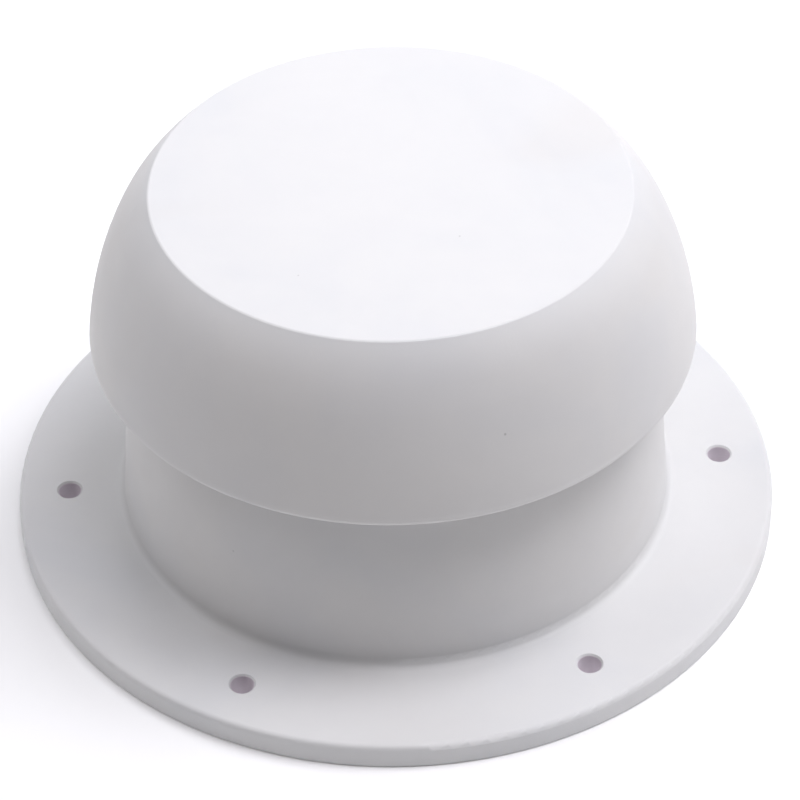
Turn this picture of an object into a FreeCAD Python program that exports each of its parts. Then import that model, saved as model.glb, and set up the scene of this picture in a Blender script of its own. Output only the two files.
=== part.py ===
"""Closable deck mushroom ventilator, FreeCAD source, millimetres.

A white moulded base (deck flange and tapered neck) is screwed over a round cut-out in a deck or roof.
A domed cap with a flat top stands over the neck and leaves a ring-shaped air gap under its skirt.
The cap sits on a closing plate with a rubber seal. A brass nut in the plate's boss runs on a two-start
spindle, which turns in a four-armed bridge inside the neck and carries the handwheel below the insect screen.
Turning the handwheel four turns lowers the cap 10 mm, until the seal meets the lip of the neck.

Frame: origin at the centre of the deck face (underside of the flange), +Z up through the cap,
+X through one of the six deck screw holes. The model stands open, cap fully raised.
"""
import FreeCAD, Part
import math
import os

V = FreeCAD.Vector

# ---------------------------------------------------------------- driving dimensions (mm)
FLANGE_R = 75.0          # deck flange outer radius
FLANGE_T = 5.1           # flange edge height
FLANGE_SKIN = 2.6        # flange plate thickness, hollow below
FLANGE_EDGE_R = 1.1      # rounded upper edge
PCD = 130.0              # deck screw circle
N_DECK_HOLES = 6
DECK_HOLE_R = 2.25

NECK_R0 = 54.0           # neck outer radius, extended to the flange's top
NECK_DRAFT = 0.0748      # radius lost per mm of height
NECK_WALL = 2.7
NECK_FILLET = 1.7
SHOULDER_Z = 52.4        # top of the tapered part of the neck
THROAT_R = 51.3          # throat radius at the deck face
LIP_R_IN, LIP_R_OUT = 42.0, 44.0
LIP_Z = 56.5             # top of the sealing lip

CAP_RIM_Z = 44.25        # lower edge of the cap's skirt, cap raised
CAP_TOP_Z = 76.65
CAP_TOP_R = 45.04        # flat top, to the theoretical sharp edge
CAP_ARC_R = 63.99        # radius of the dome's lower profile arc
CAP_ARC_CR = -5.63       # centre of that arc (r, z)
CAP_ARC_CZ = 39.15
CAP_SHOULDER_Z = 66.0    # the tighter upper arc starts here, tangent
CAP_WALL = 2.4
CAP_TOP_WALL = 2.6
CAP_TOP_EDGE_R = 0.55
CAP_RIM_EDGE_R = 1.1

TRAVEL = 10.0            # lift of the cap
LEAD = 2.5               # two-start thread, 2 x 1.25
SPINDLE_R = 4.0
RUN_CLEAR = 0.06         # running clearance, radial

BRIDGE_Z = 26.0          # underside of the bridge
BRIDGE_T = 4.0
SLEEVE_TOP = 51.0
SLEEVE_R_OUT = 13.5
SLEEVE_R_IN = 9.3
GROOVE_R = 11.45
GROOVE_W = 3.5
ARM_W = 9.0
BRIDGE_SCREW_R = 43.6    # pitch radius of the bridge screws
ARM_ANGLES = (45.0, 135.0, 225.0, 315.0)
SCREEN_SCREW_R = 46.7
SCREEN_ANGLES = (0.0, 90.0, 180.0, 270.0)

SCREEN_SEAT_Z = 20.8     # lower ends of the neck's inner ribs
SCREEN_Z = 18.9          # underside of the insect screen
SCREEN_T = 0.6
SCREEN_R = 44.7

DISH_Z = 62.0            # underside of the closing plate's dish, cap raised
PLATE_T = 2.2
BOSS_BOTTOM = 42.3
BOSS_R = 9.0
NUT_R = 6.0
NUT_Z0, NUT_Z1 = 42.8, 52.8
SEAL_R_IN, SEAL_R_OUT = 40.0, 45.2
SEAL_TOP = 69.3
CAP_SCREW_R = 30.0

KNOB_R = 22.0
KNOB_Z0, KNOB_Z1 = 5.5, 15.0
N_FLUTES = 8
SQUARE_TOP = 15.6        # shoulder of the spindle's square end
SQUARE_BOTTOM = 10.5

os.makedirs("parts", exist_ok=True)


# ---------------------------------------------------------------- helpers
def pt(r, z):
    return V(r, 0, z)


def rounded(points):
    """Closed list of edges in the XZ plane. Each point is (r, z) or (r, z, corner radius)."""
    n = len(points)
    starts, ends, arcs = [], [], []
    for i, p in enumerate(points):
        c = pt(p[0], p[1])
        f = p[2] if len(p) > 2 else 0.0
        a = pt(*points[i - 1][:2])
        b = pt(*points[(i + 1) % n][:2])
        if f <= 0:
            starts.append(c)
            ends.append(c)
            arcs.append(None)
            continue
        u = (a - c).normalize()
        w = (b - c).normalize()
        half = math.acos(max(-1.0, min(1.0, u.dot(w)))) / 2
        t = f / math.tan(half)
        p0, p1 = c + u * t, c + w * t
        bis = (u + w).normalize()
        mid = c + bis * (f / math.sin(half) - f)
        starts.append(p0)
        ends.append(p1)
        arcs.append(Part.Arc(p0, mid, p1).toShape())
    edges = []
    for i in range(n):
        if arcs[i] is not None:
            edges.append(arcs[i])
        s, e = ends[i], starts[(i + 1) % n]
        if (s - e).Length > 1e-6:
            edges.append(Part.LineSegment(s, e).toShape())
    return edges


def revolve(edges):
    face = Part.Face(Part.Wire(Part.__sortEdges__(edges)))
    return face.revolve(V(0, 0, 0), V(0, 0, 1), 360)


def rev(points):
    return revolve(rounded(points))


def cyl(r, z0, z1, x=0.0, y=0.0):
    return Part.makeCylinder(r, z1 - z0, V(x, y, z0))


def tube(r0, r1, z0, z1, x=0.0, y=0.0):
    return cyl(r1, z0, z1, x, y).cut(cyl(r0, z0 - 1, z1 + 1, x, y))


def polar(r, deg):
    a = math.radians(deg)
    return r * math.cos(a), r * math.sin(a)


def turned(shape, deg):
    s = shape.copy()
    s.rotate(V(0, 0, 0), V(0, 0, 1), deg)
    return s


def bar(r0, r1, w, z0, z1, deg):
    """Radial block from r0 to r1, w wide, turned to deg."""
    return turned(Part.makeBox(r1 - r0, w, z1 - z0, V(r0, -w / 2, z0)), deg)


def join(*shapes):
    s = shapes[0]
    rest = [x for x in shapes[1:]]
    return s.fuse(rest).removeSplitter() if rest else s


def save(name, shape):
    solids = shape.Solids
    ok = shape.isValid() and all(s.isClosed() for s in solids)
    out = solids[0] if len(solids) == 1 else Part.makeCompound(solids)
    out.exportStep("parts/%s.step" % name)
    b = out.BoundBox
    print("%-18s solids %d valid %s vol %.1f mm3  z %.2f..%.2f  r %.2f" % (
        name, len(solids), ok, sum(s.Volume for s in solids), b.ZMin, b.ZMax, max(b.XMax, b.YMax)))


def neck_r(z):
    return NECK_R0 - NECK_DRAFT * (z - FLANGE_T)


def inner_r(z):
    return neck_r(z) - NECK_WALL


def pan_screw(x, y, z_head, up, head_r, head_h, shank_r, length, drive_r, drive_w):
    """Pan-head screw whose head seats on z_head. up=True drives the shank upward from there."""
    prof = rounded([(0, -head_h), (head_r * 0.80, -head_h, head_h * 0.55), (head_r, -head_h * 0.30, 0.25), (head_r, 0),
                    (shank_r, 0), (shank_r, length - shank_r * 1.1), (0.35, length), (0, length)])
    s = revolve(prof)
    for k in (0, 90):
        blade = Part.makeBox(2 * drive_r, drive_w, head_h * 0.62, V(-drive_r, -drive_w / 2, -head_h - 0.01))
        blade.rotate(V(0, 0, 0), V(0, 0, 1), k)
        s = s.cut(blade)
    cone = Part.makeCone(drive_w * 0.95, 0.1, head_h * 0.8, V(0, 0, -head_h - 0.01))
    s = s.cut(cone)
    if not up:
        s.rotate(V(0, 0, 0), V(1, 0, 0), 180)
    s.translate(V(x, y, z_head))
    return s


def e_clip(r_in, r_out, z0, z1, gap, deg):
    """Retaining clip: open ring with three inner lugs."""
    ring = tube(r_in + 0.9, r_out, z0, z1)
    lugs = [bar(r_in, r_in + 1.4, 1.8, z0, z1, deg + a) for a in (90, 180, 270)]
    ring = ring.fuse(lugs)
    ring = ring.cut(bar(0, r_out + 1, gap, z0 - 1, z1 + 1, deg))
    ring = ring.cut(cyl(r_in, z0 - 1, z1 + 1))
    return ring.removeSplitter()


# ---------------------------------------------------------------- base_housing: flange and neck, one moulding
GR_IN, GR_OUT = 53.4, 57.8      # groove for the deck gasket
z_in = SHOULDER_Z - 1.0
body = rev([
    (THROAT_R, 0, 0.4), (FLANGE_R, 0, 0.4), (FLANGE_R, FLANGE_T, FLANGE_EDGE_R),
    (neck_r(FLANGE_T), FLANGE_T, NECK_FILLET),
    (neck_r(SHOULDER_Z + 1.2), SHOULDER_Z + 1.2, 2.4),
    (LIP_R_OUT + 0.15, SHOULDER_Z + 1.2, 0.6),
    (LIP_R_OUT, LIP_Z, 0.98), (LIP_R_IN, LIP_Z, 0.98),
    (LIP_R_IN, z_in - 0.6, 0.5), (inner_r(z_in), z_in - 0.6, 1.6),
    (inner_r(FLANGE_T + 0.5), FLANGE_T + 0.5), (THROAT_R, FLANGE_T + 0.3),
])
# hollow underside of the flange
pocket = rev([(GR_OUT + 1.6, -1), (FLANGE_R - 2.5, -1), (FLANGE_R - 2.5, FLANGE_T - FLANGE_SKIN, 0.5),
              (GR_OUT + 1.6, FLANGE_T - FLANGE_SKIN, 0.5)])
keep = []
for i in range(24):
    keep.append(bar(GR_OUT + 1.0, FLANGE_R - 2.0, 1.6, -0.001, FLANGE_T - 0.5, 15.0 * i + 7.5))
for i in range(N_DECK_HOLES):
    x, y = polar(PCD / 2, 60.0 * i)
    keep.append(cyl(5.0, -0.001, FLANGE_T - 0.5, x, y))
keepers = keep[0].fuse(keep[1:])
pocket = pocket.cut(keepers)
body = body.cut(pocket)
body = body.cut(tube(GR_IN, GR_OUT, -1, FLANGE_T - FLANGE_SKIN))
# deck screw holes, with a slight lead-in at the top
holes = []
for i in range(N_DECK_HOLES):
    x, y = polar(PCD / 2, 60.0 * i)
    holes.append(cyl(DECK_HOLE_R, -1, FLANGE_T + 1, x, y))
    holes.append(Part.makeCone(DECK_HOLE_R, DECK_HOLE_R + 0.35, 0.35, V(x, y, FLANGE_T - 0.34)))
body = body.cut(holes[0].fuse(holes[1:]))
# inner ribs of the neck; their lower ends seat the screen frame
ribs = []
for i in range(24):
    a = 15.0 * i
    if a in SCREEN_ANGLES or a in ARM_ANGLES:
        continue
    ribs.append(bar(inner_r(SCREEN_SEAT_Z) - 2.2, inner_r(SHOULDER_Z) + 1.0, 1.8, SCREEN_SEAT_Z, z_in, a))
for a in SCREEN_ANGLES:
    x, y = polar(SCREEN_SCREW_R, a)
    ribs.append(cyl(3.2, SCREEN_SEAT_Z, z_in, x, y))
    ribs.append(bar(SCREEN_SCREW_R, inner_r(SHOULDER_Z) + 1.0, 6.4, SCREEN_SEAT_Z, z_in, a))
for a in ARM_ANGLES:
    x, y = polar(BRIDGE_SCREW_R, a)
    ribs.append(cyl(ARM_W / 2, BRIDGE_Z + BRIDGE_T, z_in, x, y))
    ribs.append(bar(BRIDGE_SCREW_R, inner_r(SHOULDER_Z) + 1.0, ARM_W, BRIDGE_Z + BRIDGE_T, z_in, a))
body = body.fuse(ribs)
pilots = []
for a in SCREEN_ANGLES:
    x, y = polar(SCREEN_SCREW_R, a)
    pilots.append(cyl(1.28, SCREEN_SEAT_Z - 1, SCREEN_SEAT_Z + 9, x, y))
for a in ARM_ANGLES:
    x, y = polar(BRIDGE_SCREW_R, a)
    pilots.append(cyl(1.53, BRIDGE_Z + BRIDGE_T - 1, BRIDGE_Z + BRIDGE_T + 11, x, y))
body = body.cut(pilots[0].fuse(pilots[1:]))
# keep the throat clear of rib corners that reach into the sealing lip's bore
body = body.removeSplitter()
# ejector marks under the flange skin
marks = []
for i in range(12):
    x, y = polar(PCD / 2 + 0.5, 30.0 * i + 15.0)
    marks.append(cyl(1.9, FLANGE_T - FLANGE_SKIN - 0.01, FLANGE_T - FLANGE_SKIN + 0.18, x, y))
body = body.cut(marks[0].fuse(marks[1:]))
save("base_housing", body)

# ---------------------------------------------------------------- deck_gasket
save("deck_gasket", rev([(GR_IN + 0.05, 0, 0.4), (GR_OUT - 0.05, 0, 0.4), (GR_OUT - 0.05, FLANGE_T - FLANGE_SKIN - 0.05, 0.4),
                         (GR_IN + 0.05, FLANGE_T - FLANGE_SKIN - 0.05, 0.4)]))

# ---------------------------------------------------------------- bridge: four-armed bridge with the guide sleeve
z0, z1 = BRIDGE_Z, BRIDGE_Z + BRIDGE_T
bridge = cyl(SLEEVE_R_OUT, z0, SLEEVE_TOP)
for a in ARM_ANGLES:
    x, y = polar(BRIDGE_SCREW_R, a)
    bridge = bridge.fuse([bar(5, BRIDGE_SCREW_R, ARM_W, z0, z1 - 0.02, a), cyl(ARM_W / 2, z0, z1 - 0.02, x, y)])
    gusset = Part.Face(Part.makePolygon([pt(10, z1 - 0.5), pt(37.5, z1 - 0.5), pt(37.5, z1 + 1.2), pt(13.0, SLEEVE_TOP - 5), pt(10, SLEEVE_TOP - 5), pt(10, z1 - 0.5)]))
    gusset = gusset.extrude(V(0, 2.4, 0))
    gusset.translate(V(0, -1.2, 0))
    bridge = bridge.fuse(turned(gusset, a))
bridge = bridge.removeSplitter()
cuts = [cyl(SLEEVE_R_IN, z1, SLEEVE_TOP + 1)]
for a in (0, 90, 180, 270):
    cuts.append(bar(0, GROOVE_R, GROOVE_W, z1, SLEEVE_TOP + 1, a))
cuts.append(cyl(6.0, z0 - 1, z1 + 1))
for a in ARM_ANGLES:
    x, y = polar(BRIDGE_SCREW_R, a)
    cuts.append(cyl(1.75, z0 - 1, z1 + 1, x, y))
bridge = bridge.cut(cuts[0].fuse(cuts[1:])).removeSplitter()
save("bridge", bridge)

# ---------------------------------------------------------------- bridge_screws
save("bridge_screws", Part.makeCompound([
    pan_screw(*polar(BRIDGE_SCREW_R, a), z0 - 0.01, True, 3.0, 2.3, 1.5, 13.0, 1.75, 0.75) for a in ARM_ANGLES]))

# ---------------------------------------------------------------- spindle_bush, thrust_washer
bush = rev([(SPINDLE_R + RUN_CLEAR, z0 - 1.0, 0.2), (8.0, z0 - 1.0, 0.2), (8.0, z0 - 0.01), (5.97, z0 - 0.01), (5.97, z1), (SPINDLE_R + RUN_CLEAR, z1, 0.2)])
save("spindle_bush", bush)
save("thrust_washer", tube(SPINDLE_R + 0.15, 7.2, z1 + 0.01, z1 + 0.61))

# ---------------------------------------------------------------- spindle: threaded shaft, collar, square end
zc = z1 + 0.66                     # underside of the collar
z_clip = z0 - 1.0 - 1.05 - 0.85    # lower clip groove
spin = rev([(0, SQUARE_BOTTOM), (SPINDLE_R, SQUARE_BOTTOM, 0.35), (SPINDLE_R, z_clip), (3.2, z_clip), (3.2, z_clip + 0.9), (SPINDLE_R, z_clip + 0.9),
            (SPINDLE_R, zc), (6.6, zc, 0.2), (6.6, zc + 1.5, 0.3), (SPINDLE_R, zc + 1.5), (SPINDLE_R, NUT_Z1 + 0.2),
            (3.1, NUT_Z1 + 0.2), (3.1, NUT_Z1 + 1.1), (SPINDLE_R, NUT_Z1 + 1.1), (SPINDLE_R, NUT_Z1 + 2.6, 0.7), (0, NUT_Z1 + 2.6)])
flats = []
for a in (0, 90, 180, 270):
    flats.append(turned(Part.makeBox(3, 12, SQUARE_TOP - 8.0, V(3.05, -6, 8.0)), a))
spin = spin.cut(flats[0].fuse(flats[1:]))
spin = spin.cut(cyl(2.05, 8, 19.6))
save("spindle", spin)
save("retaining_washer", tube(SPINDLE_R + 0.15, 7.0, z0 - 1.0 - 1.05, z0 - 1.05))
save("retaining_clip", e_clip(3.24, 7.2, z_clip + 0.05, z_clip + 0.83, 5.4, 20))
save("stop_clip", e_clip(3.14, 5.6, NUT_Z1 + 0.25, NUT_Z1 + 1.05, 4.8, 200))

# ---------------------------------------------------------------- knob: fluted handwheel, closed face down
kz0, kz1 = KNOB_Z0, KNOB_Z1
knob = rev([(0, kz0), (KNOB_R - 2.2, kz0, 4.0), (KNOB_R, kz0 + 5.0, 3.0), (KNOB_R - 0.3, kz1, 0.8), (KNOB_R - 2.7, kz1, 0.5), (KNOB_R - 2.9, kz0 + 2.6, 1.5),
            (8.2, kz0 + 2.6, 0.8), (7.8, kz1 + 1.2, 0.6), (0, kz1 + 1.2)])
flutes = []
for i in range(N_FLUTES):
    x, y = polar(KNOB_R + 3.3, 360.0 / N_FLUTES * i)
    flutes.append(Part.makeCylinder(4.9, 30, V(x, y, kz0 - 5)))
knob = knob.cut(flutes[0].fuse(flutes[1:]))
webs = [bar(7, KNOB_R - 2.5, 1.5, kz0 + 2.0, kz1 - 3.0, 22.5 + 90 * i) for i in range(4)]
knob = knob.fuse(webs)
knob = knob.cut(flutes[0].fuse(flutes[1:]))
knob = knob.cut(cyl(7.05, kz0 - 1, kz0 + 1.25))                         # seat of the snap cap
knob = knob.cut(cyl(4.6, kz0 - 1, kz0 + 3.6))                           # screw-head recess
knob = knob.cut(cyl(2.2, kz0 - 1, kz1 + 3))
knob = knob.cut(Part.makeBox(6.16, 6.16, SQUARE_TOP - SQUARE_BOTTOM + 0.09, V(-3.08, -3.08, SQUARE_BOTTOM - 0.1)).common(cyl(4.05, 8, 21)))
knob = knob.cut(cyl(4.1, SQUARE_TOP - 0.02, kz1 + 3))
knob = knob.removeSplitter()
save("knob", knob)
save("knob_screw", pan_screw(0, 0, kz0 + 3.58, True, 3.8, 2.2, 2.0, 9.5, 2.3, 0.95))
save("knob_cap", rev([(0, kz0 - 0.25), (5.2, kz0 - 0.2, 3.0), (7.0, kz0 + 0.1, 0.1), (7.0, kz0 + 1.2), (0, kz0 + 1.2)]))

# ---------------------------------------------------------------- screen_frame, insect_screen, screen_eyelet, screen_screws
fr_out = inner_r(SCREEN_SEAT_Z) - 0.35
frame = rev([(42.0, SCREEN_Z - 1.5, 0.5), (fr_out, SCREEN_Z - 1.5, 0.5), (fr_out, SCREEN_SEAT_Z - 0.01, 0.3), (45.0, SCREEN_SEAT_Z - 0.01, 0.3),
             (45.0, SCREEN_Z - 0.01), (42.0, SCREEN_Z - 0.01, 0.3)])
fh = []
for a in SCREEN_ANGLES:
    x, y = polar(SCREEN_SCREW_R, a)
    fh.append(cyl(1.5, 10, 30, x, y))
frame = frame.cut(fh[0].fuse(fh[1:]))
save("screen_frame", frame)
save("insect_screen", tube(7.2, SCREEN_R, SCREEN_Z, SCREEN_Z + SCREEN_T))
eye = rev([(4.8, SCREEN_Z - 0.9, 0.4), (8.6, SCREEN_Z - 0.9, 0.3), (8.6, SCREEN_Z - 0.02), (7.1, SCREEN_Z - 0.02), (7.1, SCREEN_Z + SCREEN_T + 0.02),
           (8.6, SCREEN_Z + SCREEN_T + 0.02), (8.6, SCREEN_Z + SCREEN_T + 0.8, 0.3), (4.8, SCREEN_Z + SCREEN_T + 0.8, 0.4)])
save("screen_eyelet", eye)
save("screen_screws", Part.makeCompound([
    pan_screw(*polar(SCREEN_SCREW_R, a), SCREEN_Z - 1.51, True, 2.4, 1.8, 1.25, 10.0, 1.35, 0.6) for a in SCREEN_ANGLES]))


# ---------------------------------------------------------------- cap_shell
# two tangent arcs: centre 1 is given, centre 2 follows from the shoulder and the flat top's edge
c1 = (CAP_ARC_CR, CAP_ARC_CZ)
sh_r = c1[0] + math.sqrt(CAP_ARC_R ** 2 - (CAP_SHOULDER_Z - c1[1]) ** 2)
nr, nz = (c1[0] - sh_r) / CAP_ARC_R, (c1[1] - CAP_SHOULDER_Z) / CAP_ARC_R
qr, qz = CAP_TOP_R - sh_r, CAP_TOP_Z - CAP_SHOULDER_Z
arc2_r = (qr * qr + qz * qz) / (2 * (nr * qr + nz * qz))
c2 = (sh_r + nr * arc2_r, CAP_SHOULDER_Z + nz * arc2_r)
print("shoulder r %.2f  upper arc R %.2f centre %.2f, %.2f" % (sh_r, arc2_r, c2[0], c2[1]))


def dome_pt(z, off=0.0):
    """Point of the dome's profile at height z, on the surface or off mm inside it."""
    zs = CAP_SHOULDER_Z + nz * off
    c, r = (c1, CAP_ARC_R) if z <= zs else (c2, arc2_r)
    return pt(c[0] + math.sqrt((r - off) ** 2 - (z - c[1]) ** 2), z)


def dome_edges(za, zb, off=0.0):
    zs = CAP_SHOULDER_Z + nz * off
    lo = Part.Arc(dome_pt(za, off), dome_pt((za + zs) / 2, off), dome_pt(zs, off)).toShape()
    hi = Part.Arc(dome_pt(zs, off), dome_pt((zs + zb) / 2, off), dome_pt(zb, off)).toShape()
    return [lo, hi]


def dome_solid(za, zb, off=0.0):
    line = lambda a, b: Part.LineSegment(a, b).toShape()
    return revolve(dome_edges(za, zb, off) + [line(dome_pt(zb, off), pt(0, zb)), line(pt(0, zb), pt(0, za)), line(pt(0, za), dome_pt(za, off))])


zi = CAP_TOP_Z - CAP_TOP_WALL
solid = dome_solid(CAP_RIM_Z, CAP_TOP_Z)
core = dome_solid(CAP_RIM_Z - 2, zi, CAP_WALL)


def circle_edges(shape, z, rmin):
    found = []
    for e in shape.Edges:
        b = e.BoundBox
        if abs(b.ZMin - z) < 1e-3 and abs(b.ZMax - z) < 1e-3 and b.XMax > rmin and hasattr(e.Curve, "Radius"):
            found.append(e)
    return found


solid = solid.makeFillet(CAP_TOP_EDGE_R, circle_edges(solid, CAP_TOP_Z, 20))
solid = solid.makeFillet(CAP_RIM_EDGE_R, circle_edges(solid, CAP_RIM_Z, 20))
core = core.makeFillet(2.0, circle_edges(core, zi, 20))
shell = solid.cut(core)
add = []
for a in ARM_ANGLES:
    x, y = polar(CAP_SCREW_R, a)
    add.append(cyl(4.0, DISH_Z + PLATE_T + 0.01, zi + 0.5, x, y))
for i in range(16):
    a = 22.5 * i
    add.append(bar(CAP_SCREW_R - 6, dome_pt(zi).x + 2, 1.5, zi - 2.0, zi + 0.5, a).common(dome_solid(CAP_RIM_Z, CAP_TOP_Z)))
shell = shell.fuse(add)
cutp = []
for a in ARM_ANGLES:
    x, y = polar(CAP_SCREW_R, a)
    cutp.append(cyl(1.53, DISH_Z, zi - 0.4, x, y))
shell = shell.cut(cutp[0].fuse(cutp[1:])).removeSplitter()
save("cap_shell", shell)

# ---------------------------------------------------------------- closing_plate: dished plate with splined boss
gp = SEAL_TOP + 2.2
plate = rev([
    (0, DISH_Z), (37.6, DISH_Z, 1.0), (38.3, SEAL_TOP - 1.5, 0.3), (38.3, SEAL_TOP - 2.2), (SEAL_R_IN - 0.04, SEAL_TOP - 2.2, 0.2), (SEAL_R_IN - 0.04, SEAL_TOP),
    (SEAL_R_OUT + 0.04, SEAL_TOP), (SEAL_R_OUT + 0.04, SEAL_TOP - 2.2, 0.15), (46.5, SEAL_TOP - 2.2, 0.3), (45.6, gp, 0.5),
    (36.6, gp, 1.0), (35.4, DISH_Z + PLATE_T, 1.0), (0, DISH_Z + PLATE_T)])
boss = [cyl(BOSS_R, BOSS_BOTTOM, DISH_Z + 0.5)]
for a in (0, 90, 180, 270):
    boss.append(bar(BOSS_R - 1.0, GROOVE_R - 0.3, GROOVE_W - 0.5, BOSS_BOTTOM, DISH_Z + 0.5, a))
    boss.append(bar(BOSS_R - 1.0, 34.5, 1.6, DISH_Z + PLATE_T - 0.3, DISH_Z + PLATE_T + 3.0, a))
plate = plate.fuse(boss)
pc = [cyl(6.25, NUT_Z1, DISH_Z + PLATE_T + 4), cyl(NUT_R + 0.02, BOSS_BOTTOM - 1, NUT_Z1 + 0.02)]
for a in ARM_ANGLES:
    x, y = polar(CAP_SCREW_R, a)
    pc.append(cyl(1.75, DISH_Z - 1, DISH_Z + PLATE_T + 1, x, y))
plate = plate.cut(pc[0].fuse(pc[1:])).removeSplitter()
save("closing_plate", plate)

save("plate_screws", Part.makeCompound([
    pan_screw(*polar(CAP_SCREW_R, a), DISH_Z - 0.01, True, 2.9, 2.1, 1.5, 11.5, 1.7, 0.75) for a in ARM_ANGLES]))

# ---------------------------------------------------------------- spindle_nut: brass insert, two knurled bands
nut = rev([(SPINDLE_R + RUN_CLEAR, NUT_Z0, 0.3), (NUT_R, NUT_Z0, 0.3), (NUT_R, NUT_Z0 + 4), (NUT_R - 0.6, NUT_Z0 + 4.3), (NUT_R - 0.6, NUT_Z1 - 4.3), (NUT_R, NUT_Z1 - 4),
           (NUT_R, NUT_Z1, 0.3), (SPINDLE_R + RUN_CLEAR, NUT_Z1, 0.3)])
save("spindle_nut", nut)

# ---------------------------------------------------------------- seal_ring
save("seal_ring", rev([(SEAL_R_IN, SEAL_TOP - 2.75, 0.5), (SEAL_R_OUT, SEAL_TOP - 2.75, 0.5), (SEAL_R_OUT, SEAL_TOP - 0.02, 0.3), (SEAL_R_IN, SEAL_TOP - 0.02, 0.3)]))
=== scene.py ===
import bpy, bmesh
import math
import random
from mathutils import Matrix, Vector


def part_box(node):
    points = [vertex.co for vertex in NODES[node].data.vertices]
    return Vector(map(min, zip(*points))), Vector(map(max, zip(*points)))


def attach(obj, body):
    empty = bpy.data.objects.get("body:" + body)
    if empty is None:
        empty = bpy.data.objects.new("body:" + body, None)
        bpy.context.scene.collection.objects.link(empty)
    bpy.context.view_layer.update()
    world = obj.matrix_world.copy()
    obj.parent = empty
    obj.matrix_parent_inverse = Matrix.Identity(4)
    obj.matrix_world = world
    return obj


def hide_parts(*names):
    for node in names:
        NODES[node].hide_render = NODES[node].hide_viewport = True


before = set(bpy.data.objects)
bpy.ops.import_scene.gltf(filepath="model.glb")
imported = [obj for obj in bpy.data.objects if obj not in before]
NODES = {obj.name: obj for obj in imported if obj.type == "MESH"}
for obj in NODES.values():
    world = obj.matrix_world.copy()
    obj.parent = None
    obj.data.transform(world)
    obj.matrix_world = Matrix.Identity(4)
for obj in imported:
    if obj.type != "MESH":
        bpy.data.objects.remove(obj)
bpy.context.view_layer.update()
MM = 0.001
sc = bpy.context.scene

# ------------------------------------------------------------------ camera
AZ = math.radians(-3.35)
EL = math.radians(40.956)
ROLL = math.radians(-0.948)
F_PX, DIST = 3199.7, 623.2
TX, TY = -1.167, 4.532


def camera():
    fwd = Vector((0, math.cos(EL), -math.sin(EL)))
    right = Vector((1, 0, 0))
    up = right.cross(fwd)
    r2 = right * math.cos(ROLL) + up * math.sin(ROLL)
    u2 = -right * math.sin(ROLL) + up * math.cos(ROLL)
    pos = -DIST * fwd + Vector((0, 0, 30)) - TX * r2 - TY * u2
    rot = Matrix.Rotation(AZ, 3, "Z")
    cols = [rot @ r2, rot @ u2, rot @ (-fwd)]
    m = Matrix(((cols[0].x, cols[1].x, cols[2].x), (cols[0].y, cols[1].y, cols[2].y), (cols[0].z, cols[1].z, cols[2].z)))
    data = bpy.data.cameras.new("camera")
    data.sensor_width = 36.0
    data.lens = F_PX / 800.0 * 36.0
    data.clip_start, data.clip_end = 0.02, 20.0
    cam = bpy.data.objects.new("camera", data)
    cam.matrix_world = Matrix.Translation(rot @ pos * MM) @ m.to_4x4()
    sc.collection.objects.link(cam)
    sc.camera = cam


camera()

# ------------------------------------------------------------------ light and stage
sc.view_settings.view_transform = "Standard"
sc.view_settings.look = "None"
sc.view_settings.exposure = 0.0
sc.view_settings.gamma = 1.0

WORLD = 0.0
LIGHTS = [
    # name, azimuth (0 = towards the camera side, 90 = right), elevation, distance, size, power W, colour
    ("key_right", 90, 60, 1.0, 0.5, 4.20, (0.998, 0.990, 1.019)),
    ("top_right", 60, 75, 1.0, 0.5, 2.71, (1.002, 0.986, 1.040)),
    ("back_right", 135, 38, 1.0, 0.5, 2.92, (0.975, 0.985, 1.040)),
    ("back_left", 225, 38, 1.0, 0.5, 1.94, (0.970, 0.990, 1.040)),
    ("back_low", 180, 14, 1.0, 0.5, 2.28, (0.970, 0.980, 1.050)),
    ("left", 270, 60, 1.0, 0.5, 1.26, (1.005, 0.985, 1.010)),
    ("left_low", 270, 38, 1.0, 0.5, 1.09, (1.030, 0.990, 0.980)),
    ("right_low", 90, 38, 1.0, 0.5, 1.42, (0.998, 0.980, 1.022)),
    ("front_top", 0, 75, 1.0, 0.5, 0.74, (1.010, 0.970, 1.050)),
]
FLOOR_GLOW = 0.072
FAR_GLOW = 0.80


def add_lights():
    w = bpy.data.worlds.new("studio")
    sc.world = w
    w.use_nodes = True
    bg = w.node_tree.nodes["Background"]
    bg.inputs["Color"].default_value = (0.97, 0.975, 1.0, 1)
    bg.inputs["Strength"].default_value = WORLD
    for name, az, el, dist, size, power, col in LIGHTS:
        if power <= 0:
            continue
        d = bpy.data.lights.new(name, "AREA")
        d.shape = "DISK"
        d.size = size
        d.energy = power
        d.color = col
        o = bpy.data.objects.new(name, d)
        a, e = math.radians(az), math.radians(el)
        back = Vector((math.sin(a) * math.cos(e), -math.cos(a) * math.cos(e), math.sin(e)))
        o.location = back * dist + Vector((0, 0, 0.03))
        o.rotation_mode = "QUATERNION"
        o.rotation_quaternion = back.to_track_quat("Z", "Y")
        sc.collection.objects.link(o)


add_lights()


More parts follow.
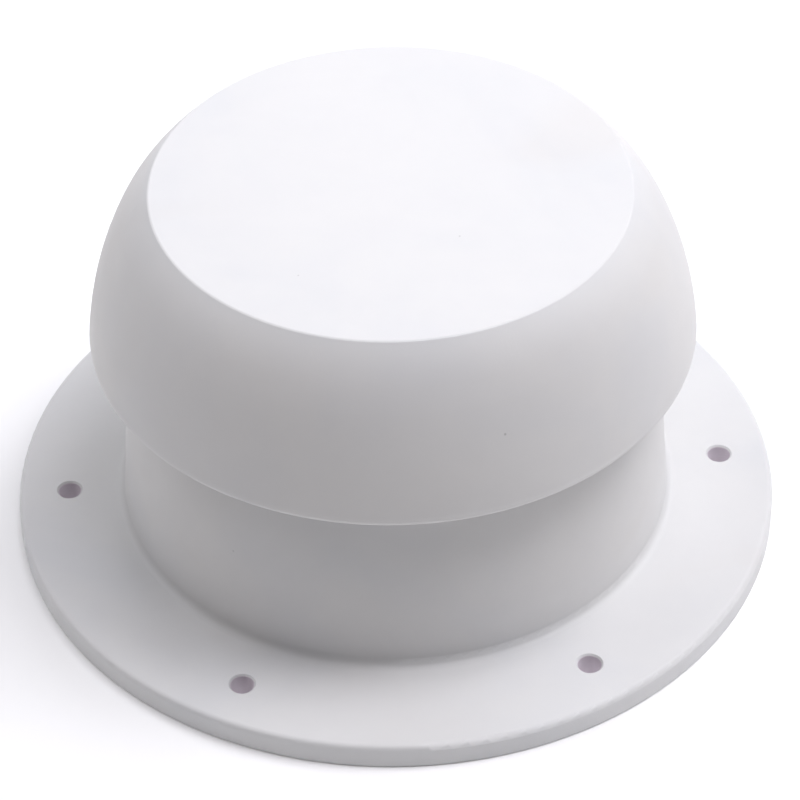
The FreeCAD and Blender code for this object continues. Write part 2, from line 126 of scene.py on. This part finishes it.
# ------------------------------------------------------------------ node material helpers
class Mat:
    def __init__(self, name):
        self.m = bpy.data.materials.new(name)
        self.m.use_nodes = True
        self.t = self.m.node_tree
        self.n = self.t.nodes
        self.b = self.n["Principled BSDF"]
        self.out = self.n["Material Output"]
        self.co = self.n.new("ShaderNodeTexCoord").outputs["Object"]

    def link(self, a, b):
        self.t.links.new(a, b)

    def put(self, node, name, v):
        if hasattr(v, "links") or hasattr(v, "is_linked"):
            self.link(v, node.inputs[name])
        else:
            node.inputs[name].default_value = v

    def noise(self, scale, detail=2.0, rough=0.5, vec=None, dist=0.0):
        n = self.n.new("ShaderNodeTexNoise")
        n.inputs["Scale"].default_value = scale
        n.inputs["Detail"].default_value = detail
        n.inputs["Roughness"].default_value = rough
        n.inputs["Distortion"].default_value = dist
        self.link(vec or self.co, n.inputs["Vector"])
        return n.outputs["Fac"]

    def voronoi(self, scale, feature="F1", vec=None, out="Distance", rnd=1.0):
        n = self.n.new("ShaderNodeTexVoronoi")
        n.feature = feature
        n.inputs["Scale"].default_value = scale
        n.inputs["Randomness"].default_value = rnd
        self.link(vec or self.co, n.inputs["Vector"])
        return n.outputs[out]

    def mapped(self, scale=(1, 1, 1), loc=(0, 0, 0), rot=(0, 0, 0)):
        n = self.n.new("ShaderNodeMapping")
        n.inputs["Scale"].default_value = scale
        n.inputs["Location"].default_value = loc
        n.inputs["Rotation"].default_value = rot
        self.link(self.co, n.inputs["Vector"])
        return n.outputs["Vector"]

    def ramp(self, fac, stops, interp="LINEAR"):
        n = self.n.new("ShaderNodeValToRGB")
        n.color_ramp.interpolation = interp
        e = n.color_ramp.elements
        while len(e) < len(stops):
            e.new(0.5)
        for el, (p, c) in zip(e, stops):
            el.position = p
            el.color = c if len(c) == 4 else (*c, 1)
        self.link(fac, n.inputs["Fac"])
        return n.outputs["Color"]

    def range(self, fac, a, b, c, d, clamp=True):
        n = self.n.new("ShaderNodeMapRange")
        n.clamp = clamp
        for i, v in enumerate((a, b, c, d)):
            n.inputs[1 + i].default_value = v
        self.link(fac, n.inputs[0])
        return n.outputs[0]

    def math(self, op, a, b=None):
        n = self.n.new("ShaderNodeMath")
        n.operation = op
        for i, v in enumerate((a, b)):
            if v is None:
                continue
            if isinstance(v, (int, float)):
                n.inputs[i].default_value = v
            else:
                self.link(v, n.inputs[i])
        return n.outputs[0]

    def mix(self, fac, a, b, blend="MIX"):
        n = self.n.new("ShaderNodeMix")
        n.data_type = "RGBA"
        n.blend_type = blend
        for sock, v in ((n.inputs["Factor"], fac), (n.inputs[6], a), (n.inputs[7], b)):
            if hasattr(v, "is_linked"):
                self.link(v, sock)
            elif isinstance(v, (int, float)):
                sock.default_value = v
            else:
                sock.default_value = v if len(v) == 4 else (*v, 1)
        return n.outputs[2]

    def bump(self, height, strength, distance, under=None):
        n = self.n.new("ShaderNodeBump")
        n.inputs["Strength"].default_value = strength
        n.inputs["Distance"].default_value = distance
        self.link(height, n.inputs["Height"])
        if under is not None:
            self.link(under, n.inputs["Normal"])
        return n.outputs["Normal"]

    def hole_shade_mask(self, pcd_r, count, r_out, r_in):
        """Mask for the painted shade in the holes: 1 on the walls of the holes of a bolt circle, 0 elsewhere."""
        sep = self.n.new("ShaderNodeSeparateXYZ")
        self.link(self.co, sep.inputs[0])
        x, y = sep.outputs[0], sep.outputs[1]
        step = 2 * math.pi / count
        a = self.math("ARCTAN2", y, x)
        a = self.math("SUBTRACT", a, self.math("MULTIPLY", self.math("ROUND", self.math("DIVIDE", a, step)), step))
        r = self.math("SQRT", self.math("ADD", self.math("MULTIPLY", x, x), self.math("MULTIPLY", y, y)))
        u = self.math("SUBTRACT", self.math("MULTIPLY", r, self.math("COSINE", a)), pcd_r)
        v = self.math("MULTIPLY", r, self.math("SINE", a))
        d = self.math("SQRT", self.math("ADD", self.math("MULTIPLY", u, u), self.math("MULTIPLY", v, v)))
        return self.range(d, r_out, r_in, 0.0, 1.0)

    def tone(self, stops):
        """Painted light and shade that changes with height: (height in mm, multiplier up to 1, share of blue kept)
        stops. Green loses half of what blue does.
        """
        sep = self.n.new("ShaderNodeSeparateXYZ")
        self.link(self.co, sep.inputs[0])
        top = stops[-1][0]
        return self.ramp(self.range(sep.outputs[2], 0.0, top * MM, 0.0, 1.0), [(z / top, (k, k * (0.5 + 0.5 * b), k * b)) for z, k, b in stops])

    def edge(self, width):
        """1 on convex edges, 0 on flat ground: from the difference of the rounded and the true normal."""
        bev = self.n.new("ShaderNodeBevel")
        bev.samples = 4
        bev.inputs["Radius"].default_value = width
        geo = self.n.new("ShaderNodeNewGeometry")
        dot = self.n.new("ShaderNodeVectorMath")
        dot.operation = "DOT_PRODUCT"
        self.link(bev.outputs["Normal"], dot.inputs[0])
        self.link(geo.outputs["Normal"], dot.inputs[1])
        return self.range(dot.outputs["Value"], 0.96, 0.80, 0.0, 1.0)

    def set(self, **kw):
        for k, v in kw.items():
            self.put(self.b, k.replace("_", " "), v)
        return self.m


# Painted shade for the walls of the bolt holes: a purple grey that stands in for the shade inside them.
HOLE_PAINTED_SHADE = (0.785, 0.735, 0.78)
# Painted light and shade on the base by height: the flange a little darker, a lighter band at the neck's foot for light
# thrown back by the flange, and the neck darkening and warming upwards as painted shade under the cap.
BASE_PAINTED_LIGHT_BY_HEIGHT = [(0.0, 0.914, 1.0), (5.5, 0.914, 1.0), (7.5, 1.0, 0.99), (15.0, 0.948, 0.98), (20.0, 0.92, 0.977), (30.0, 0.86, 0.977), (37.0, 0.81, 0.977), (60.0, 0.81, 0.98)]
# Painted light and shade on the cap by height: a lighter band on the rim's rounding as a painted highlight, and sides
# darker and a little warmer than the top disc as painted shade.
CAP_PAINTED_LIGHT_BY_HEIGHT = [(0.0, 0.975, 0.975), (44.9, 0.975, 0.975), (46.3, 0.913, 0.972), (62.0, 0.925, 0.972), (70.0, 0.95, 0.975), (75.0, 1.0, 0.99), (76.0, 1.0, 1.0), (80.0, 1.0, 1.0)]


def white_plastic(name, seed, tint=(1.0, 1.0, 1.0), base=0.72, rough=0.5, holes=None, tone=None):
    """Injection-moulded white: faint flow mottling, spark-eroded grain, a few dark specks and dust motes."""
    m = Mat(name)
    off = m.mapped(loc=(seed * 0.317, seed * 0.113, seed * 0.071))
    soft = m.noise(28.0, 3.0, 0.55, off, 0.4)
    fine = m.noise(190.0, 3.0, 0.6, off)
    col = m.ramp(soft, [(0.30, tuple(base * t * k for t, k in zip(tint, (0.965, 0.972, 0.985)))),
                        (0.50, tuple(base * t for t in tint)),
                        (0.72, tuple(min(1, base * t * k) for t, k in zip(tint, (1.020, 1.016, 1.010))))])
    col = m.mix(m.range(fine, 0.35, 0.70, 0.0, 0.05), col, (base * 0.80, base * 0.80, base * 0.83))
    # a few faint smudges from handling
    smear = m.noise(17.0, 2.0, 0.5, m.mapped(loc=(seed * 1.7, seed * 0.9, seed * 1.3), scale=(1.0, 1.0, 1.6)), 0.8)
    col = m.mix(m.range(smear, 0.64, 0.74, 0.0, 0.30), col, (base * 0.93, base * 0.90, base * 0.87))
    # dark specks: rare cells, small discs
    cells = m.voronoi(105.0, vec=off)
    pick = m.noise(61.0, 0.0, 0.5, off)
    speck = m.math("MULTIPLY", m.range(cells, 0.030, 0.018, 0.0, 1.0), m.range(pick, 0.54, 0.56, 0.0, 1.0))
    col = m.mix(m.math("MULTIPLY", speck, 0.40), col, (0.20, 0.19, 0.19))
    # painted light and shade by height, multiplied into the colour
    if tone:
        col = m.mix(1.0, col, m.tone(tone), "MULTIPLY")
    # painted shade on the walls of the bolt holes
    if holes:
        col = m.mix(m.hole_shade_mask(*holes), col, HOLE_PAINTED_SHADE)
    r = m.range(m.noise(75.0, 4.0, 0.6, off), 0.3, 0.7, rough - 0.05, rough + 0.06)
    grain = m.noise(2600.0, 2.0, 0.55, off)
    wave = m.noise(120.0, 2.0, 0.5, off)
    nrm = m.bump(grain, 0.16, 0.00006, m.bump(wave, 0.10, 0.00025))
    return m.set(Base_Color=col, Roughness=r, Normal=nrm, IOR=1.49, Specular_IOR_Level=0.42)


def grey_plastic(name, seed):
    m = Mat(name)
    off = m.mapped(loc=(seed * 0.31, seed * 0.17, seed * 0.09))
    fib = m.noise(900.0, 3.0, 0.7, m.mapped(scale=(1, 1, 0.2), loc=(seed * 0.2, 0, 0)))
    col = m.ramp(m.noise(40.0, 3.0, 0.6, off), [(0.3, (0.56, 0.56, 0.555)), (0.7, (0.63, 0.63, 0.622))])
    col = m.mix(m.range(fib, 0.45, 0.75, 0.0, 0.18), col, (0.47, 0.47, 0.465))
    r = m.range(fib, 0.3, 0.7, 0.46, 0.60)
    return m.set(Base_Color=col, Roughness=r, Normal=m.bump(fib, 0.2, 0.00006), IOR=1.5)


def steel(name, seed, brushed=(1, 1, 30)):
    m = Mat(name)
    lines = m.noise(160.0, 4.0, 0.65, m.mapped(scale=brushed, loc=(seed * 0.3, seed * 0.2, 0)))
    cloud = m.noise(90.0, 3.0, 0.6, m.mapped(loc=(seed, 0, 0)))
    col = m.mix(m.range(lines, 0.3, 0.7, 0.0, 0.5), (0.60, 0.60, 0.605), (0.50, 0.50, 0.51))
    col = m.mix(m.range(cloud, 0.5, 0.75, 0.0, 0.25), col, (0.43, 0.425, 0.42))
    r = m.range(lines, 0.3, 0.7, 0.24, 0.40)
    return m.set(Base_Color=col, Metallic=1.0, Roughness=r, Normal=m.bump(lines, 0.15, 0.00003))


def brass(name, seed):
    m = Mat(name)
    lines = m.noise(200.0, 4.0, 0.6, m.mapped(scale=(1, 1, 26), loc=(seed * 0.3, 0, 0)))
    stain = m.noise(110.0, 4.0, 0.65, m.mapped(loc=(0, seed, 0)))
    col = m.mix(m.range(lines, 0.3, 0.7, 0.0, 0.5), (0.80, 0.61, 0.30), (0.70, 0.51, 0.24))
    col = m.mix(m.range(stain, 0.48, 0.72, 0.0, 0.55), col, (0.46, 0.31, 0.14))
    r = m.range(stain, 0.4, 0.7, 0.24, 0.42)
    return m.set(Base_Color=col, Metallic=1.0, Roughness=r, Normal=m.bump(lines, 0.15, 0.00003))


def rubber(name, seed):
    m = Mat(name)
    off = m.mapped(loc=(seed * 0.3, seed * 0.1, 0))
    bloom = m.noise(70.0, 4.0, 0.65, off)
    grain = m.noise(1800.0, 2.0, 0.6, off)
    col = m.ramp(bloom, [(0.35, (0.020, 0.020, 0.021)), (0.70, (0.042, 0.042, 0.044))])
    r = m.range(bloom, 0.35, 0.7, 0.62, 0.80)
    return m.set(Base_Color=col, Roughness=r, Normal=m.bump(grain, 0.35, 0.0001), IOR=1.5)


# ------------------------------------------------------------------ mesh helpers
def new_obj(name, verts, faces, smooth=True):
    me = bpy.data.meshes.new(name)
    me.from_pydata(verts, [], faces)
    me.validate()
    for p in me.polygons:
        p.use_smooth = smooth
    o = bpy.data.objects.new(name, me)
    sc.collection.objects.link(o)
    return o


def floor():
    r, seg, rings = 3.0, 96, 10
    verts, faces = [(0, 0, 0)], []
    for i in range(rings):
        rr = r * ((i + 1) / rings) ** 2
        for k in range(seg):
            a = 2 * math.pi * k / seg
            verts.append((rr * math.cos(a), rr * math.sin(a), 0))
    for k in range(seg):
        faces.append((0, 1 + k, 1 + (k + 1) % seg))
    for i in range(rings - 1):
        for k in range(seg):
            a, b = 1 + i * seg + k, 1 + i * seg + (k + 1) % seg
            faces.append((a, a + seg, b + seg, b))
    o = new_obj("floor", verts, faces)
    o.location.z = -0.0001
    m = Mat("floor_paper")
    col = m.ramp(m.noise(3.0, 2.0), [(0.3, (0.93, 0.93, 0.935)), (0.7, (0.955, 0.955, 0.96))])
    o.data.materials.append(m.set(Base_Color=col, Roughness=0.9, Emission_Color=(1, 1, 1, 1), Emission_Strength=FLOOR_GLOW, Specular_IOR_Level=0.1))


def unlit(o):
    """Seen, but lights nothing and shades nothing."""
    o.visible_diffuse = o.visible_glossy = o.visible_transmission = False
    o.visible_volume_scatter = o.visible_shadow = False


def far_floor():
    """The floor beyond the lamps' reach is lifted to the backdrop's tone by a clear glowing sheet."""
    seg, rings, r0, r1 = 96, 24, 0.65, 3.0
    verts, faces = [], []
    for i in range(rings):
        r = r0 * (r1 / r0) ** (i / (rings - 1))
        for k in range(seg):
            a = 2 * math.pi * k / seg
            verts.append((r * math.cos(a), r * math.sin(a), 0))
    for i in range(rings - 1):
        for k in range(seg):
            a, b = i * seg + k, i * seg + (k + 1) % seg
            faces.append((a, a + seg, b + seg, b))
    o = new_obj("far_floor", verts, faces)
    o.location.z = -0.00005
    m = Mat("far_floor_glow")
    sep = m.n.new("ShaderNodeSeparateXYZ")
    m.link(m.co, sep.inputs[0])
    x, y = sep.outputs[0], sep.outputs[1]
    dist = m.math("SQRT", m.math("ADD", m.math("MULTIPLY", x, x), m.math("MULTIPLY", y, y)))
    glow = m.n.new("ShaderNodeEmission")
    stops = [(0.70, 0.0), (0.80, 0.06), (0.90, 0.17), (1.00, 0.33), (1.20, 0.52), (1.40, 0.61), (1.70, 0.66), (2.00, 0.69), (3.00, 0.715)]
    m.link(m.ramp(m.range(dist, 0.0, r1, 0.0, 1.0), [(p / r1, (v, v, v)) for p, v in stops]), glow.inputs["Strength"])
    clear, both = m.n.new("ShaderNodeBsdfTransparent"), m.n.new("ShaderNodeAddShader")
    m.link(glow.outputs[0], both.inputs[0])
    m.link(clear.outputs[0], both.inputs[1])
    m.link(both.outputs[0], m.out.inputs["Surface"])
    o.data.materials.append(m.m)
    unlit(o)


def backdrop():
    """A pale dome behind everything, for the low views."""
    seg, rings, r = 64, 20, 3.0
    verts, faces = [], []
    for i in range(rings):
        e = math.pi / 2 * i / rings
        for k in range(seg):
            a = 2 * math.pi * k / seg
            verts.append((r * math.cos(e) * math.cos(a), r * math.cos(e) * math.sin(a), r * math.sin(e)))
    for i in range(rings - 1):
        for k in range(seg):
            a, b = i * seg + k, i * seg + (k + 1) % seg
            faces.append((a, a + seg, b + seg, b))
    top = len(verts)
    verts.append((0, 0, r))
    for k in range(seg):
        faces.append(((rings - 1) * seg + k, top, (rings - 1) * seg + (k + 1) % seg))
    o = new_obj("backdrop", verts, faces)
    m = Mat("backdrop_paper")
    col = m.ramp(m.noise(1.2, 2.0), [(0.3, (0.985, 0.985, 0.99)), (0.7, (1.0, 1.0, 1.0))])
    o.data.materials.append(m.set(Base_Color=(0, 0, 0, 1), Roughness=1.0, Emission_Color=col, Emission_Strength=FAR_GLOW, Specular_IOR_Level=0.0))
    unlit(o)


floor()
far_floor()
backdrop()

MATS = {
    "base": white_plastic("white_base", 1.0, base=0.785, holes=(0.065, 6, 0.00231, 0.00227), tone=BASE_PAINTED_LIGHT_BY_HEIGHT),
    "cap": white_plastic("white_cap", 2.0, tone=CAP_PAINTED_LIGHT_BY_HEIGHT),
    "knob": white_plastic("white_knob", 3.0, rough=0.42),
    "frame": white_plastic("white_frame", 4.0),
    "grey": grey_plastic("grey_filled", 1.0),
    "grey2": grey_plastic("grey_filled_knob", 2.0),
    "steel": steel("stainless_turned", 1.0),
    "steel2": steel("stainless_washer", 2.0, (1, 1, 8)),
    "brass": brass("brass_machined", 1.0),
    "rubber": rubber("rubber_matte", 1.0),
    "wire": steel("screen_wire", 3.0, (4, 4, 4)),
}
ASSIGN = {"base_housing": "base", "cap_shell": "cap", "knob": "knob", "knob_cap": "grey2", "screen_frame": "frame", "bridge": "grey", "closing_plate": "grey",
          "deck_gasket": "rubber", "seal_ring": "rubber", "spindle_bush": "brass", "spindle_nut": "brass", "screen_eyelet": "brass", "insect_screen": "wire",
          "thrust_washer": "steel2", "retaining_washer": "steel2", "retaining_clip": "steel2", "stop_clip": "steel2"}
for name, o in NODES.items():
    o.data.materials.clear()
    o.data.materials.append(MATS[ASSIGN.get(name, "steel")])

# ------------------------------------------------------------------ insect screen: plain-woven wire, both ways over and under
def woven_screen():
    lo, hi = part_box("insect_screen")
    zc = (lo.z + hi.z) / 2 / MM
    amp = (hi.z - lo.z) / 4 / MM
    wire = amp
    r_out = (hi.x - lo.x) / 2 / MM - 0.1
    r_in, pitch, sides, per = 7.35, 1.8, 5, 4
    n = int(r_out / pitch)
    verts, faces = [], []

    def tube(along_x, k, a, b):
        c = k * pitch
        steps = max(3, int(round((b - a) / pitch * per)))
        first = len(verts)
        for i in range(steps + 1):
            u = a + (b - a) * i / steps
            z = zc + (1 if along_x else -1) * amp * math.cos(math.pi * u / pitch + math.pi * k)
            for j in range(sides):
                t = 2 * math.pi * (j + 0.5) / sides
                w, h = wire * math.cos(t), wire * math.sin(t)
                verts.append((u * MM, (c + w) * MM, (z + h) * MM) if along_x else ((c + w) * MM, u * MM, (z + h) * MM))
        for i in range(steps):
            for j in range(sides):
                p0, p1 = first + i * sides + j, first + i * sides + (j + 1) % sides
                q = (p0, p1, p1 + sides, p0 + sides)
                faces.append(q if not along_x else q[::-1])
        cap0 = tuple(first + j for j in range(sides))
        cap1 = tuple(first + steps * sides + j for j in range(sides))
        faces.append(cap0 if along_x else cap0[::-1])
        faces.append(cap1[::-1] if along_x else cap1)

    for along_x in (True, False):
        for k in range(-n, n + 1):
            c = abs(k * pitch)
            if c > r_out - 0.6:
                continue
            e = math.sqrt(r_out ** 2 - c ** 2)
            if c < r_in:
                g = math.sqrt(r_in ** 2 - c ** 2)
                tube(along_x, k, -e, -g)
                tube(along_x, k, g, e)
            else:
                tube(along_x, k, -e, e)
    o = new_obj("insect_screen_weave", verts, faces)
    fix_normals(o)
    o.data.materials.append(MATS["wire"])
    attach(o, "base")
    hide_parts("insect_screen")


def fix_normals(o):
    bm = bmesh.new()
    bm.from_mesh(o.data)
    bmesh.ops.recalc_face_normals(bm, faces=bm.faces)
    bm.to_mesh(o.data)
    bm.free()


# ------------------------------------------------------------------ spindle with its two-start thread
def threaded_spindle():
    lo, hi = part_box("spindle")
    z_lo, z_hi = lo.z / MM, hi.z / MM
    R, root, lead, pitch = 4.0, 3.28, 2.5, 1.25
    seg = 72
    z_sq, z_clip, z_col, z_nut = 15.6, 23.1, 30.66, 52.8
    rows = []          # (z, kind, radius)
    rows += [(z_lo, "sq", 3.6), (z_lo + 0.35, "sq", R), (z_sq, "sq", R), (z_sq, "r", R), (z_clip, "r", R), (z_clip, "r", 3.2), (z_clip + 0.9, "r", 3.2),
             (z_clip + 0.9, "r", R), (z_col, "r", R), (z_col, "r", 6.4), (z_col + 0.2, "r", 6.6), (z_col + 1.2, "r", 6.6), (z_col + 1.5, "r", 6.3), (z_col + 1.5, "r", R)]
    z = z_col + 1.6
    while z < z_nut + 0.05:
        rows.append((z, "t", R))
        z += 0.104
    rows += [(z_nut + 0.2, "r", R), (z_nut + 0.2, "r", 3.1), (z_nut + 1.1, "r", 3.1), (z_nut + 1.1, "r", R), (z_hi - 0.7, "r", R), (z_hi - 0.2, "r", 3.5), (z_hi, "r", 3.1)]
    zt0, zt1 = z_col + 1.7, z_nut
    verts, faces = [], []
    for z, kind, r in rows:
        for k in range(seg):
            a = 2 * math.pi * k / seg
            rr = r
            if kind == "sq":
                rr = min(r, 3.05 / max(abs(math.cos(a)), abs(math.sin(a))))
            elif kind == "t":
                ph = ((z - lead * a / (2 * math.pi)) / pitch) % 1.0
                d = abs(ph - 0.5) * 2                      # 0 at the crest's middle, 1 at the root's
                depth = min(1.0, max(0.0, (d - 0.30) / 0.40))
                fade = min(1.0, max(0.0, (z - zt0) / 0.9)) * min(1.0, max(0.0, (zt1 - z) / 0.9))
                rr = R - (R - root) * depth * fade
            verts.append((rr * math.cos(a) * MM, rr * math.sin(a) * MM, z * MM))
    for i in range(len(rows) - 1):
        for k in range(seg):
            a, b = i * seg + k, i * seg + (k + 1) % seg
            faces.append((a, b, b + seg, a + seg))
    # lower end: ring face round the tapped hole, then the hole's wall and its end
    base = len(verts)
    hole = [(z_lo, 2.3), (z_lo + 0.3, 2.05), (19.4, 2.05), (19.9, 0.4)]
    for z, r in hole:
        for k in range(seg):
            a = 2 * math.pi * k / seg
            verts.append((r * math.cos(a) * MM, r * math.sin(a) * MM, z * MM))
    for k in range(seg):
        k2 = (k + 1) % seg
        faces.append((k2, k, base + k, base + k2))
        for i in range(len(hole) - 1):
            a, b = base + i * seg + k, base + i * seg + k2
            faces.append((b, a, a + seg, b + seg))
    faces.append(tuple(base + (len(hole) - 1) * seg + k for k in range(seg)))
    top = (len(rows) - 1) * seg
    faces.append(tuple(top + k for k in range(seg)))
    o = new_obj("spindle_threaded", verts, faces)
    fix_normals(o)
    o.data.materials.append(MATS["steel"])
    mod = o.modifiers.new("edges", "EDGE_SPLIT")
    mod.split_angle = math.radians(38)
    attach(o, "spindle")
    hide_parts("spindle")


woven_screen()
threaded_spindle()
